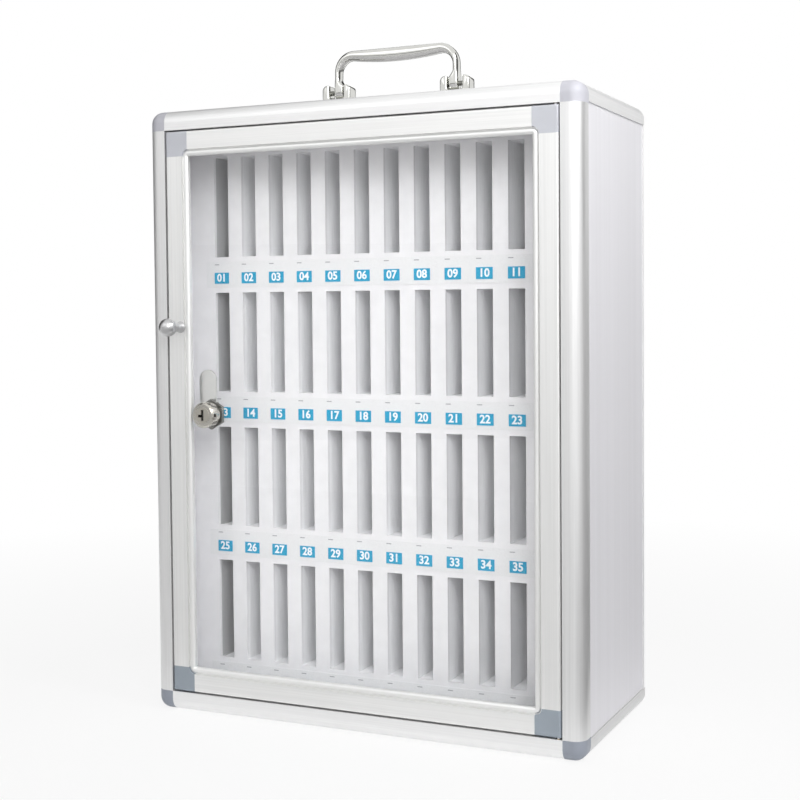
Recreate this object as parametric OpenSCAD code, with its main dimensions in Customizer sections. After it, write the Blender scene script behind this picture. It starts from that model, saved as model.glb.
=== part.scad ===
// Cell phone locker box: an aluminium cabinet with a clear locking door,
// a rack of numbered slots inside and a folding carry handle on top.
// Millimetres. The origin is the centre of the base, +X right, the door faces -Y, +Z up.

/* [Case] */
// Outside width
case_w = 375; // [371:1:380]
// Outside depth, without the knob and the lock
case_d = 170; // [166:1:180]
// Outside height, without the handle
case_h = 500; // [497:1:504]
// Width of the frame rails on the front
rail_w = 16.5; // [16:0.5:18]
// Depth of the front and rear rails
rail_d = 16; // [16:0.5:18]
// Height of the side rails and of the rear rails
side_rail_h = 15; // [15:0.5:16.5]
// Rounding of the rails' outer edges
edge_r = 10; // [8:0.5:10]
// Depth of the corner caps
cap_d = 17; // [17:0.5:19]
// Thickness of the side, top and back panels
panel_t = 3; // [2.5:0.1:3]

/* [Door] */
// Gap between the door and the casing
door_gap = 1.2; // [1:0.1:1.5]
// Width of the door rails, bead included
door_rail_w = 20.5; // [20:0.5:22]
// Thickness of the door
door_t = 9.5; // [9:0.1:9.5]
// Thickness of the clear pane
pane_t = 3; // [2.5:0.1:3]
// Height of the knob above the base
knob_z = 321.5; // [300:0.5:340]
// Radius of the knob's ball
knob_r = 7.4; // [6:0.1:8]

/* [Lock] */
// Distance from the case's left side to the lock axis
lock_inset = 53.5; // [52:0.5:56]
// Height of the lock axis above the base
lock_z = 249.4; // [240:0.1:260]
// Radius of the lock's head
lock_r = 10.5; // [10:0.1:11]
// Width of the cam's arm
cam_w = 16; // [14:0.5:17]

/* [Rack] */
// Number of slots in a tier
columns = 12; // [11:1:12]
// Distance from one slot to the next
column_pitch = 26.64; // [26:0.01:27]
// Width of a slot
slot_w = 13.5; // [12:0.1:14]
// Height of a slot
slot_h = 84.4; // [80:0.1:86]
// Distance from one tier to the next
tier_pitch = 114.6; // [113:0.1:115]
// Height of the lowest slots above the base
first_slot_z = 36.5; // [36:0.1:38]
// Distance from the case front to the rack front
rack_setback = 48.5; // [46:0.5:50]
// Depth of the rack
rack_depth = 98; // [90:1:100]

/* [Handle] */
// Distance from the case centre to the middle of a bracket
bracket_x = 54; // [50:0.5:60]
// Distance of the handle behind the middle of the case
handle_y = 4; // [0:0.5:6]
// Height of the handle above the casing
handle_h = 52; // [48:0.5:56]
// Front to back width of the handle
handle_w = 11; // [10:0.5:12]

/* [Hidden] */
$fn = 64;

half_w = case_w / 2;
half_d = case_d / 2;
front_y = -half_d;

// Rail section
rail_wall = 1.6;
groove_depth = 5;
groove_low = 0.9;
groove_high = groove_low + panel_t + 0.2;
groove_wall = groove_high + rail_wall;
panel_inset = 1;
panel_tongue = groove_depth - 0.4;
panel_clear = 0.1;
stop_width = 9;
stop_setback = 10.5;
stop_t = 1.5;

// Corner caps plug into the rails with a spigot
spigot_from = 6.4;
spigot_w = 5.8;
spigot_length = 8;

// The side rails are solid at the rear, where their end is rounded over
rail_end_solid = 10;
rail_end_wall = 3.4;

// Slim edge trim at the rear of the side panels
trim_face = 3.5;
trim_r = 3;
trim_lip = 8.5;

// Holes in the back panel for wall screws
wall_hole_r = 3;
wall_hole_dx = 280;
wall_hole_dz = 400;

// Door
door_half_w = half_w - rail_w - door_gap;
door_bottom = rail_w + door_gap;
door_top = case_h - rail_w - door_gap;
door_h = door_top - door_bottom;
door_edge_r = 1.5;
door_wall = 1.4;
chamber_w = 9.1;
pane_front = 4.55;
pane_slack = 0.05;
pane_groove_from = 12;
pane_edge_in = 13.5;
pane_y = front_y + pane_front;
pane_rear = pane_y + pane_t;
door_rear = front_y + door_t;
door_tongue = 10;
tongue_slack = 0.3;

// Bead beside a groove, round the opening for the pane
bead_w = 4.6;
bead_crown = 0.4;
bead_groove_w = 0.9;
bead_groove_depth = 2.4;
bead_reach = bead_w + bead_groove_w;
door_flat_w = door_rail_w - bead_reach;
front_lip = pane_front - pane_slack;
back_lip_from = pane_front + pane_t + pane_slack;
back_lip_reach = door_flat_w + 3.5;

// Hinge pins, near the front right edge of the door
hinge_x = door_half_w - 2.8;
hinge_y = front_y + 3.2;
hinge_pin_r = 1.5;
hinge_clear = 0.05;
bush_r = 2.4;
bush_h = 6.5;
pin_in_door = 12;
pin_in_bush = 5.5;

// Knob
knob_x = door_half_w - 11.8;
knob_reach = 18;
knob_stem_r = 3.8;
knob_foot_r = 4.8;
knob_foot_t = 2.5;
knob_screw_r = 1.5;

// Lock. Turned to the left, its cam ends just short of the frame
lock_x = half_w - lock_inset;
lock_front = front_y - 6;
lock_thread_r = 8.5;
plug_r = 6.6;
plug_clear = 0.05;
plug_proud = 0.2;
nut_af = 22;
nut_t = 3.4;
cam_t = 2;
cam_y = front_y + stop_setback + stop_t + 0.4;
cam_tip_clear = 0.5;
cam_reach = lock_inset - rail_w - cam_tip_clear;
cam_hub_r = 8.5;
cam_shoulder = 12;
cam_offset = 5.5;
drive_w = 7;
key_slot_w = 2.2;
key_slot_h = 9;
key_slot_depth = 9;
key_notch_w = 4;
key_notch_h = 2.2;
key_notch_low = 1.7;
cam_screw_r = 2;
cam_screw_head_r = 4.8;

// Rack
tiers = 4;
rack_front = front_y + rack_setback;
rack_rear = rack_front + rack_depth;
rack_half_w = half_w - panel_inset - panel_t - 0.5;
rack_bottom = side_rail_h + 0.1;
rack_top = case_h - 18;
strip_t = 3;
board_t = 3;
label_drop = 17.9;
label_strip_t = 0.5;
plate_w = 14;
plate_h = 9.3;
plate_t = 0.4;

// Handle
pivot_z = case_h + 18;
pivot_r = 2;
pivot_clear = 0.05;
bracket_w = 26;
bracket_d = 13;
bracket_top = case_h + 24;
bracket_r = 6;
bracket_slot_w = 13.4;
bracket_floor = case_h + 12.2;
flange_w = 44;
flange_d = 17;
flange_t = 2.5;
bow_half_w = 56.3;
bow_leg_t = 5;
bow_rise = case_h + handle_h - pivot_z;
bow_bend_r = 17;
bow_inner_r = 10.5;
grip_t = 7.4;
grip_belly = 3;
foot_in = 48.2;
foot_flare_top = 10;
foot_flare_bend = 7;
foot_flare_low = 4.5;
handle_screw_r = 2;
handle_screw_x = 8;

function column_x(i) = (i - (columns - 1) / 2) * column_pitch;
function tier_z(k) = first_slot_z + (tiers - k) * tier_pitch;
function label_z(k) = tier_z(k) - label_drop;
function arc(cx, cy, rx, ry, from, to, steps) =
    [for (s = [0 : steps]) let (a = from + (to - from) * s / steps) [cx + rx * cos(a), cy + ry * sin(a)]];

// A rectangle from the origin with its corner at the origin rounded
module rounded_corner(a, b, r) {
    intersection() {
        square([a, b]);
        union() {
            translate([r, 0]) square([a, b]);
            translate([0, r]) square([a, b]);
            translate([r, r]) circle(r);
        }
    }
}

// Solid rail section: outer corner at the origin, one face along x and one along y.
// A groove at the far end of y always holds a panel, one at the far end of x only where asked.
module solid_section(a, b, second_groove) {
    difference() {
        rounded_corner(a, b, edge_r);
        translate([groove_low, b - groove_depth]) square([groove_high - groove_low, groove_depth + 1]);
        if (second_groove)
            translate([a - groove_depth, groove_low]) square([groove_depth + 1, groove_high - groove_low]);
    }
}

// The same section with its chamber
module rail_section(a, b, second_groove) {
    difference() {
        solid_section(a, b, second_groove);
        translate([rail_wall, rail_wall]) rounded_corner(
            a - groove_depth - 2 * rail_wall, b - groove_depth - 2 * rail_wall, edge_r - rail_wall);
        translate([groove_wall, groove_wall])
            square([a - groove_wall - rail_wall, b - groove_wall - rail_wall]);
    }
}

module on_right() {
    mirror([1, 0, 0]) children();
}

module at_bottom() {
    translate([0, 0, case_h]) mirror([0, 0, 1]) children();
}

module hinge_bore(r) {
    translate([hinge_x, hinge_y, door_top - 20]) cylinder(r = r, h = 20 + door_gap + bush_h);
}

module front_rail_upper() {
    length = case_w - 2 * rail_w;
    color([0.9, 0.9, 0.92]) difference() {
        translate([-length / 2, front_y, case_h]) rotate([0, 90, 0])
            linear_extrude(length) rail_section(rail_w, rail_d, false);
        hinge_bore(bush_r);
    }
}

module front_rail_side() {
    color([0.92, 0.92, 0.93]) translate([-half_w, front_y, rail_w])
        linear_extrude(case_h - 2 * rail_w) rail_section(rail_w, rail_d, false);
}

module side_rail_upper() {
    start = front_y + cap_d;
    length = half_d - start;
    color([0.8, 0.8, 0.84]) intersection() {
        translate([-half_w, start, case_h]) rotate([-90, 0, 0]) union() {
            linear_extrude(length - rail_end_solid) rail_section(rail_w, side_rail_h, true);
            translate([0, 0, length - rail_end_solid])
                linear_extrude(rail_end_solid - rail_end_wall) solid_section(rail_w, side_rail_h, true);
            translate([0, 0, length - rail_end_wall])
                linear_extrude(rail_end_wall) rounded_corner(rail_w, side_rail_h, edge_r);
        }
        // The rear end is rounded over like the long edges
        translate([-half_w - 1, half_d, case_h]) rotate([0, 90, 0]) rotate([0, 0, -90])
            linear_extrude(rail_w + 2) rounded_corner(case_d, 2 * side_rail_h, edge_r);
    }
}

module rear_rail_upper() {
    length = case_w - 2 * rail_w;
    color([0.9, 0.9, 0.92]) mirror([0, 1, 0]) translate([-length / 2, front_y, case_h]) rotate([0, 90, 0])
        linear_extrude(length) rail_section(side_rail_h, rail_d, true);
}

module rear_edge() {
    height = case_h - 2 * side_rail_h;
    lip_from = panel_inset + panel_t + panel_clear;
    color([0.85, 0.85, 0.87]) mirror([0, 1, 0]) translate([-half_w, front_y, side_rail_h])
        linear_extrude(height) union() {
            rounded_corner(lip_from + rail_wall, trim_face, trim_r);
            translate([lip_from, 1]) square([rail_wall, trim_face + trim_lip - 1]);
            translate([lip_from, lip_from]) square([trim_lip, rail_wall]);
        }
}

// Everything within the edge radius of the octant that starts at that radius on each axis
module rounded_octant(size) {
    translate([edge_r, edge_r, edge_r]) {
        sphere(edge_r);
        cylinder(r = edge_r, h = size);
        rotate([0, 90, 0]) cylinder(r = edge_r, h = size);
        rotate([-90, 0, 0]) cylinder(r = edge_r, h = size);
        translate([-edge_r, 0, 0]) cube(size);
        translate([0, -edge_r, 0]) cube(size);
        translate([0, 0, -edge_r]) cube(size);
    }
}

module corner_cap() {
    far = rail_w + spigot_length;
    color([0.82, 0.82, 0.86]) translate([-half_w, front_y, case_h]) mirror([0, 0, 1]) union() {
        intersection() {
            cube([rail_w, cap_d, rail_w]);
            rounded_octant(2 * rail_w);
        }
        translate([edge_r, spigot_from, spigot_from]) cube([far - edge_r, spigot_w, spigot_w]);
        translate([spigot_from, edge_r, spigot_from]) cube([spigot_w, far - edge_r, spigot_w]);
        translate([spigot_from, spigot_from, edge_r]) cube([spigot_w, spigot_w, far - edge_r]);
    }
}

module side_panel() {
    front = front_y + cap_d + panel_clear;
    rear = half_d - trim_face - panel_clear;
    low = side_rail_h - panel_tongue;
    tongue_low = rail_w + panel_clear;
    color([0.88, 0.87, 0.92]) translate([-half_w + panel_inset, 0, 0]) union() {
        translate([0, front, low]) cube([panel_t, rear - front, case_h - 2 * low]);
        translate([0, front_y + rail_d - panel_tongue, tongue_low])
            cube([panel_t, front - front_y - rail_d + panel_tongue + 1, case_h - 2 * tongue_low]);
    }
}

// Flat sheet in the grooves of four rails, seen from above
module horizontal_sheet(thickness) {
    main_w = case_w - 2 * rail_w - 2 * panel_clear;
    main_d = case_d - 2 * rail_d + 2 * panel_tongue;
    side_w = case_w - 2 * rail_w + 2 * panel_tongue;
    side_from = front_y + cap_d + panel_clear;
    translate([-main_w / 2, -main_d / 2, 0]) cube([main_w, main_d, thickness]);
    translate([-side_w / 2, side_from, 0]) cube([side_w, main_d / 2 - side_from, thickness]);
}

module at_handle_screws() {
    for (side = [-1, 1], x = [-handle_screw_x, handle_screw_x])
        translate([side * bracket_x + x, handle_y, 0]) children();
}

module panel_top() {
    low = case_h - panel_inset - panel_t;
    color([0.9, 0.9, 0.92]) difference() {
        translate([0, 0, low]) horizontal_sheet(panel_t);
        at_handle_screws() translate([0, 0, low - 1]) cylinder(r = handle_screw_r + 0.2, h = panel_t + 2);
    }
}

module panel_bottom() {
    inner_w = case_w - 2 * rail_w - 0.4;
    inner_d = case_d - 2 * rail_d - 0.4;
    color([0.85, 0.85, 0.87]) union() {
        translate([0, 0, panel_inset]) horizontal_sheet(panel_t);
        translate([-inner_w / 2, -inner_d / 2, 0]) cube([inner_w, inner_d, panel_inset + 1]);
    }
}

module panel_back() {
    edge = panel_inset + panel_t + panel_clear + rail_wall + panel_clear;
    low = side_rail_h + panel_clear;
    tongue_w = case_w - 2 * rail_w - 2 * panel_clear;
    color([0.85, 0.85, 0.87]) difference() {
        translate([0, half_d - panel_inset - panel_t, 0]) union() {
            translate([-half_w + edge, 0, low]) cube([case_w - 2 * edge, panel_t, case_h - 2 * low]);
            translate([-tongue_w / 2, 0, side_rail_h - panel_tongue])
                cube([tongue_w, panel_t, case_h - 2 * side_rail_h + 2 * panel_tongue]);
        }
        for (x = [-wall_hole_dx / 2, wall_hole_dx / 2], z = [-wall_hole_dz / 2, wall_hole_dz / 2])
            translate([x, half_d, case_h / 2 + z]) rotate([90, 0, 0]) cylinder(r = wall_hole_r, h = 10);
    }
}

// Strips inside the frame that the door closes against and the cam turns behind
module door_stops() {
    height = case_h - 2 * rail_w;
    width = case_w - 2 * rail_w;
    between = width - 2 * stop_width - 0.4;
    color([0.8, 0.8, 0.82]) translate([0, front_y + stop_setback, 0]) {
        for (x = [-width / 2, width / 2 - stop_width])
            translate([x, 0, rail_w]) cube([stop_width, stop_t, height]);
        for (z = [rail_w, rail_w + height - stop_width])
            translate([-between / 2, 0, z]) cube([between, stop_t, stop_width]);
    }
}

module hinge_bush() {
    color([0.8, 0.7, 0.4]) translate([hinge_x, hinge_y, door_top + door_gap]) difference() {
        cylinder(r = bush_r, h = bush_h);
        translate([0, 0, -1]) cylinder(r = hinge_pin_r + hinge_clear, h = bush_h + 2);
    }
}

module hinge_bushes() {
    hinge_bush();
    at_bottom() hinge_bush();
}

module rack_side() {
    color([0.93, 0.93, 0.94]) translate([-rack_half_w, rack_front + strip_t, rack_bottom])
        cube([board_t, rack_depth - strip_t - board_t, rack_top - rack_bottom]);
}

module rack_back() {
    color([0.93, 0.93, 0.94]) translate([-rack_half_w, rack_rear - board_t, rack_bottom])
        cube([2 * rack_half_w, board_t, rack_top - rack_bottom]);
}

// A floor and a ceiling board for each tier
module rack_shelves() {
    width = 2 * (rack_half_w - board_t);
    color([0.93, 0.93, 0.94]) for (k = [1 : tiers], z = [tier_z(k) - board_t, tier_z(k) + slot_h])
        translate([-width / 2, rack_front + strip_t, z])
            cube([width, rack_depth - strip_t - board_t, board_t]);
}

// White bands across the rack front, below each tier and above the top one
module rack_bands() {
    lows = [rack_bottom, for (k = [tiers : -1 : 1]) tier_z(k) + slot_h];
    highs = [for (k = [tiers : -1 : 1]) tier_z(k), rack_top];
    color([0.96, 0.96, 0.97]) for (b = [0 : tiers])
        translate([-rack_half_w, rack_front, lows[b]]) cube([2 * rack_half_w, strip_t, highs[b] - lows[b]]);
}

// Upright between two slots, from one edge to the next; the outer ones reach the rack sides
module slot_uprights(k, y, depth, half_width) {
    for (i = [0 : columns]) {
        left = i == 0 ? -half_width : column_x(i - 1) + slot_w / 2;
        right = i == columns ? half_width : column_x(i) - slot_w / 2;
        translate([left, y, tier_z(k)]) cube([right - left, depth, slot_h]);
    }
}

module slot_strips() {
    color([0.96, 0.96, 0.97]) for (k = [1 : tiers]) slot_uprights(k, rack_front, strip_t, rack_half_w);
}

module slot_dividers(k) {
    color([0.55, 0.55, 0.57])
        slot_uprights(k, rack_front + strip_t, rack_depth - strip_t - board_t, rack_half_w - board_t);
}

module label_strips() {
    below = 8;
    above = 14;
    width = columns * column_pitch + 4;
    color([0.98, 0.98, 0.99]) for (k = [1 : tiers])
        translate([-width / 2, rack_front - label_strip_t, label_z(k) - below])
            cube([width, label_strip_t, below + above]);
}

module number_plates() {
    color([0.08, 0.55, 0.75]) for (k = [1 : tiers], i = [0 : columns - 1])
        translate([column_x(i) - plate_w / 2, rack_front - label_strip_t - plate_t, label_z(k) - plate_h / 2])
            cube([plate_w, plate_t, plate_h]);
}

// Cast bracket: a screwed foot and two ears that hold the handle's leg between them
module handle_bracket() {
    base_z = case_h - panel_inset;
    height = bracket_top - base_z;
    color([0.75, 0.75, 0.77]) translate([-bracket_x, handle_y, 0]) difference() {
        union() {
            translate([0, bracket_d / 2, base_z]) rotate([90, 0, 0]) linear_extrude(bracket_d) union() {
                translate([bracket_w / 2, height]) rotate([0, 0, 180])
                    rounded_corner(bracket_w / 2, height, bracket_r);
                mirror([1, 0]) translate([bracket_w / 2, height]) rotate([0, 0, 180])
                    rounded_corner(bracket_w / 2, height, bracket_r);
            }
            translate([-flange_w / 2, -flange_d / 2, base_z]) cube([flange_w, flange_d, flange_t]);
        }
        translate([-bracket_slot_w / 2, -bracket_d, bracket_floor])
            cube([bracket_slot_w, 2 * bracket_d, bracket_top]);
        translate([-bracket_w, 0, pivot_z]) rotate([0, 90, 0]) cylinder(r = pivot_r, h = 2 * bracket_w);
        for (x = [-handle_screw_x, handle_screw_x])
            translate([x, 0, base_z - 1]) cylinder(r = handle_screw_r, h = 10);
    }
}

module handle_screws() {
    head_h = 2.5;
    under = case_h - panel_inset - panel_t;
    color([0.7, 0.7, 0.72]) at_handle_screws() union() {
        translate([0, 0, under - head_h]) cylinder(r = 3.5, h = head_h);
        translate([0, 0, under - 1]) cylinder(r = handle_screw_r, h = panel_t + 9);
    }
}

module handle_pins() {
    length = bracket_w - 1;
    color([0.75, 0.75, 0.77]) for (side = [-1, 1])
        translate([side * bracket_x - length / 2, handle_y, pivot_z]) rotate([0, 90, 0])
            cylinder(r = pivot_r, h = length);
}

// Half of the handle's outline, from the middle to the outer leg, with the pivot at height 0
module bow_half_outline() {
    inner_w = bow_half_w - bow_leg_t;
    belly_r = (pow(inner_w - bow_inner_r, 2) + pow(grip_belly, 2)) / (2 * grip_belly);
    under = bow_rise - grip_t;
    foot = handle_w;
    difference() {
        translate([bow_half_w, bow_rise]) rotate([0, 0, 180])
            rounded_corner(bow_half_w, bow_rise + foot, bow_bend_r);
        translate([inner_w, under]) rotate([0, 0, 180])
            rounded_corner(inner_w + 1, under + foot + 1, bow_inner_r);
    }
    intersection() {
        translate([0, under - grip_belly + belly_r]) circle(belly_r, $fn = 200);
        translate([0, under - grip_belly]) square([inner_w - bow_inner_r, grip_belly + 1]);
    }
    // The leg widens to its foot
    polygon([
        [inner_w + 1, foot_flare_top], [inner_w, foot_flare_top], [foot_in + 0.8, foot_flare_bend],
        [foot_in, foot_flare_low], [foot_in, -foot], [inner_w + 1, -foot]
    ]);
}

module handle_bow() {
    leg_r = handle_w / 2;
    color([0.75, 0.75, 0.77]) translate([0, handle_y, pivot_z]) difference() {
        intersection() {
            translate([0, leg_r, 0]) rotate([90, 0, 0]) linear_extrude(handle_w) union() {
                bow_half_outline();
                mirror([1, 0]) bow_half_outline();
            }
            // Seen from the side the foot is round about the pivot
            translate([-case_w / 2, 0, 0]) rotate([90, 0, 90]) linear_extrude(case_w) union() {
                circle(leg_r);
                translate([-leg_r, 0]) square([handle_w, bow_rise + 1]);
            }
        }
        translate([-case_w / 2, 0, 0]) rotate([0, 90, 0]) cylinder(r = pivot_r + pivot_clear, h = case_w);
    }
}

// Points over the bead, which starts the given distance from x = 0
function bead_arc(start) =
    arc(start + bead_w / 2, bead_groove_depth, bead_w / 2, bead_groove_depth - bead_crown, -180, 0, 10);

// Door rail section: x runs inward from the door's outer edge, y back from its front
module door_rail_section() {
    difference() {
        polygon([
            [0, door_t],
            each arc(door_edge_r, door_edge_r, door_edge_r, door_edge_r, 180, 270, 8),
            [door_flat_w, 0],
            [door_flat_w, bead_groove_depth],
            each bead_arc(door_rail_w - bead_w),
            [door_rail_w, front_lip],
            [pane_groove_from, front_lip],
            [pane_groove_from, back_lip_from],
            [back_lip_reach, back_lip_from],
            [back_lip_reach, door_t]
        ]);
        translate([door_wall, door_wall]) square([chamber_w, door_t - 2 * door_wall]);
    }
}

module door_rail_side() {
    color([0.85, 0.86, 0.86]) translate([-door_half_w, front_y, door_bottom + door_rail_w])
        linear_extrude(door_h - 2 * door_rail_w) door_rail_section();
}

module door_rail_left() {
    difference() {
        door_rail_side();
        translate([-knob_x, front_y - 1, knob_z]) rotate([-90, 0, 0])
            cylinder(r = knob_screw_r + 0.1, h = door_t + 2);
    }
}

// The bead's quarter turn, about the left top corner of the opening
module bead_turn() {
    translate([door_rail_w - door_half_w, front_y, door_top - door_rail_w])
        rotate([0, 180, 0]) rotate([-90, 0, 0]) rotate_extrude(angle = 90) polygon([
            [0, front_lip],
            each bead_arc(0),
            [bead_reach, bead_groove_depth],
            [bead_reach, front_lip]
        ]);
}

// The upper rail carries the bead round both of its corners
module door_rail_upper() {
    length = 2 * (door_half_w - door_rail_w);
    color([0.85, 0.86, 0.86]) union() {
        translate([-length / 2, front_y, door_top]) rotate([0, 90, 0])
            linear_extrude(length) door_rail_section();
        bead_turn();
        on_right() bead_turn();
    }
}

// Corner block of the door, with a tongue into each rail, a pocket for the pane and a hollow for the bead
module door_corner() {
    tongue = chamber_w - 2 * tongue_slack;
    tongue_t = door_t - 2 * door_wall - 2 * tongue_slack;
    tongue_from = door_wall + tongue_slack;
    start = door_rail_w - 1;
    color([0.72, 0.74, 0.77]) translate([-door_half_w, front_y, door_top]) mirror([0, 0, 1]) difference() {
        union() {
            intersection() {
                linear_extrude(door_rail_w) rounded_corner(door_rail_w, door_t, door_edge_r);
                mirror([1, 0, -1]) linear_extrude(door_rail_w)
                    rounded_corner(door_rail_w, door_t, door_edge_r);
            }
            translate([tongue_from, tongue_from, start]) cube([tongue, tongue_t, door_tongue]);
            translate([start, tongue_from, tongue_from]) cube([door_tongue, tongue_t, tongue]);
        }
        translate([pane_groove_from, front_lip, pane_groove_from])
            cube([door_rail_w, back_lip_from - front_lip, door_rail_w]);
        translate([door_rail_w, -1, door_rail_w]) rotate([-90, 0, 0])
            cylinder(r = bead_reach + 0.05, h = front_lip + 1.5);
        translate([back_lip_reach, front_lip, back_lip_reach]) cube([door_rail_w, door_t, door_rail_w]);
    }
}

module door_corner_hinged() {
    difference() {
        on_right() door_corner();
        hinge_bore(hinge_pin_r);
    }
}

module door_pane() {
    width = 2 * (door_half_w - pane_edge_in);
    height = door_h - 2 * pane_edge_in;
    color([0.9, 0.95, 0.97, 0.35]) difference() {
        translate([-width / 2, pane_y, door_bottom + pane_edge_in]) cube([width, pane_t, height]);
        translate([-lock_x, pane_y - 1, lock_z]) rotate([-90, 0, 0])
            cylinder(r = lock_thread_r + 0.1, h = pane_t + 2);
    }
}

module door_knob() {
    color([0.66, 0.66, 0.67]) translate([-knob_x, front_y, knob_z]) difference() {
        union() {
            translate([0, -knob_reach, 0]) sphere(knob_r);
            rotate([90, 0, 0]) cylinder(r = knob_stem_r, h = knob_reach);
            rotate([90, 0, 0]) cylinder(r1 = knob_foot_r, r2 = knob_stem_r + 0.2, h = knob_foot_t);
        }
        rotate([90, 0, 0]) translate([0, 0, -1]) cylinder(r = knob_screw_r, h = 9);
    }
}

module knob_screw() {
    head_h = 1.4;
    color([0.7, 0.7, 0.72]) translate([-knob_x, door_rear, knob_z]) rotate([90, 0, 0]) union() {
        translate([0, 0, -head_h]) cylinder(r = 2.8, h = head_h);
        cylinder(r = knob_screw_r, h = door_t + 7);
    }
}

module hinge_pin() {
    color([0.7, 0.7, 0.72]) translate([hinge_x, hinge_y, door_top - pin_in_door])
        cylinder(r = hinge_pin_r, h = pin_in_door + door_gap + pin_in_bush);
}

module hinge_pins() {
    hinge_pin();
    at_bottom() hinge_pin();
}

module lock_housing() {
    head_length = pane_y - lock_front;
    thread_length = pane_t + nut_t + 0.2;
    chamfer = 1.5;
    wafer_w = 2.6;
    wafer_length = 3.2;
    wafer_depth = 2;
    color([0.78, 0.77, 0.74]) translate([-lock_x, lock_front, lock_z]) rotate([-90, 0, 0]) difference() {
        union() {
            cylinder(r1 = lock_r - chamfer, r2 = lock_r, h = chamfer);
            translate([0, 0, chamfer]) cylinder(r = lock_r, h = head_length - chamfer);
            cylinder(r = lock_thread_r, h = head_length + thread_length);
        }
        translate([0, 0, -1]) cylinder(r = plug_r + plug_clear, h = head_length + thread_length + 2);
        // Two wafer slots in the side of the head
        for (angle = [0, -62]) rotate([0, 0, angle])
            translate([lock_r - wafer_depth, -wafer_w / 2, 1.2])
                cube([wafer_depth + 1, wafer_w, wafer_length]);
    }
}

module lock_nut() {
    color([0.75, 0.75, 0.75]) translate([-lock_x, pane_rear, lock_z]) rotate([-90, 0, 0]) difference() {
        rotate([0, 0, 30]) cylinder(d = nut_af / cos(30), h = nut_t, $fn = 6);
        translate([0, 0, -1]) cylinder(r = lock_thread_r, h = nut_t + 2);
    }
}

module lock_plug() {
    plug_length = cam_y - lock_front + plug_proud;
    color([0.7, 0.69, 0.66]) translate([-lock_x, lock_front - plug_proud, lock_z]) difference() {
        union() {
            rotate([-90, 0, 0]) cylinder(r = plug_r, h = plug_length);
            translate([-drive_w / 2, plug_length - 1, -drive_w / 2]) cube([drive_w, cam_t + 1, drive_w]);
        }
        translate([-key_slot_w / 2, -1, -key_slot_h / 2]) cube([key_slot_w, key_slot_depth + 1, key_slot_h]);
        translate([-key_notch_w, -1, -key_notch_low])
            cube([key_notch_w, key_slot_depth + 1, key_notch_h]);
        translate([0, plug_length - 5, 0]) rotate([-90, 0, 0]) cylinder(r = cam_screw_r, h = 10);
    }
}

// The cam's arm stands to the left of the lock axis
module lock_cam() {
    tip_z = cam_reach - cam_w / 2;
    left = -cam_offset - cam_w / 2;
    right = -cam_offset + cam_w / 2;
    color([0.85, 0.85, 0.86]) translate([-lock_x, cam_y + cam_t, lock_z]) rotate([90, 0, 0])
        linear_extrude(cam_t) difference() {
            union() {
                circle(cam_hub_r);
                polygon([
                    [-cam_hub_r, 0], [cam_hub_r, 0], [right, cam_shoulder],
                    [right, tip_z], [left, tip_z], [left, cam_shoulder]
                ]);
                translate([-cam_offset, tip_z]) circle(cam_w / 2);
            }
            translate([-drive_w / 2 - 0.05, -drive_w / 2 - 0.05]) square(drive_w + 0.1);
        }
}

module cam_screw() {
    head_h = 2;
    color([0.7, 0.7, 0.72]) translate([-lock_x, cam_y + cam_t, lock_z]) rotate([-90, 0, 0]) union() {
        cylinder(r = cam_screw_head_r, h = head_h);
        translate([0, 0, -cam_t - 4]) cylinder(r = cam_screw_r, h = cam_t + 4.5);
    }
}

front_rail_upper();  // front_rail_top
at_bottom() front_rail_upper();  // front_rail_bottom
front_rail_side();  // front_rail_left
on_right() front_rail_side();  // front_rail_right
side_rail_upper();  // side_rail_top_left
on_right() side_rail_upper();  // side_rail_top_right
at_bottom() side_rail_upper();  // side_rail_bottom_left
on_right() at_bottom() side_rail_upper();  // side_rail_bottom_right
rear_rail_upper();  // rear_rail_top
at_bottom() rear_rail_upper();  // rear_rail_bottom
rear_edge();  // rear_edge_left
on_right() rear_edge();  // rear_edge_right
corner_cap();  // corner_cap_top_left
on_right() corner_cap();  // corner_cap_top_right
at_bottom() corner_cap();  // corner_cap_bottom_left
on_right() at_bottom() corner_cap();  // corner_cap_bottom_right
side_panel();  // panel_left
on_right() side_panel();  // panel_right
panel_top();
panel_bottom();
panel_back();
door_stops();
hinge_bushes();
rack_side();  // rack_side_left
on_right() rack_side();  // rack_side_right
rack_back();
rack_shelves();
rack_bands();
slot_strips();
slot_dividers(1);  // slot_dividers_1
slot_dividers(2);  // slot_dividers_2
slot_dividers(3);  // slot_dividers_3
slot_dividers(4);  // slot_dividers_4
label_strips();
number_plates();
handle_bracket();  // handle_bracket_left
on_right() handle_bracket();  // handle_bracket_right
handle_screws();
handle_pins();
door_rail_upper();  // door_rail_top
at_bottom() door_rail_upper();  // door_rail_bottom
door_rail_left();
on_right() door_rail_side();  // door_rail_right
door_corner();  // door_corner_top_left
door_corner_hinged();  // door_corner_top_right
at_bottom() door_corner();  // door_corner_bottom_left
at_bottom() door_corner_hinged();  // door_corner_bottom_right
door_pane();
door_knob();
knob_screw();
hinge_pins();
lock_housing();
lock_nut();
lock_plug();
lock_cam();
cam_screw();
handle_bow();
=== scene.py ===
"""Cell phone locker box: materials, printed numbers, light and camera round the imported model.

Metres, in the model's own frame: the origin is the centre of the base, +X right,
the door faces -Y, +Z up. Sizes in millimetres stand under a comment that says so.
"""

import math

import bpy
from mathutils import Matrix, Vector
from mathutils.geometry import tessellate_polygon


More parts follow.
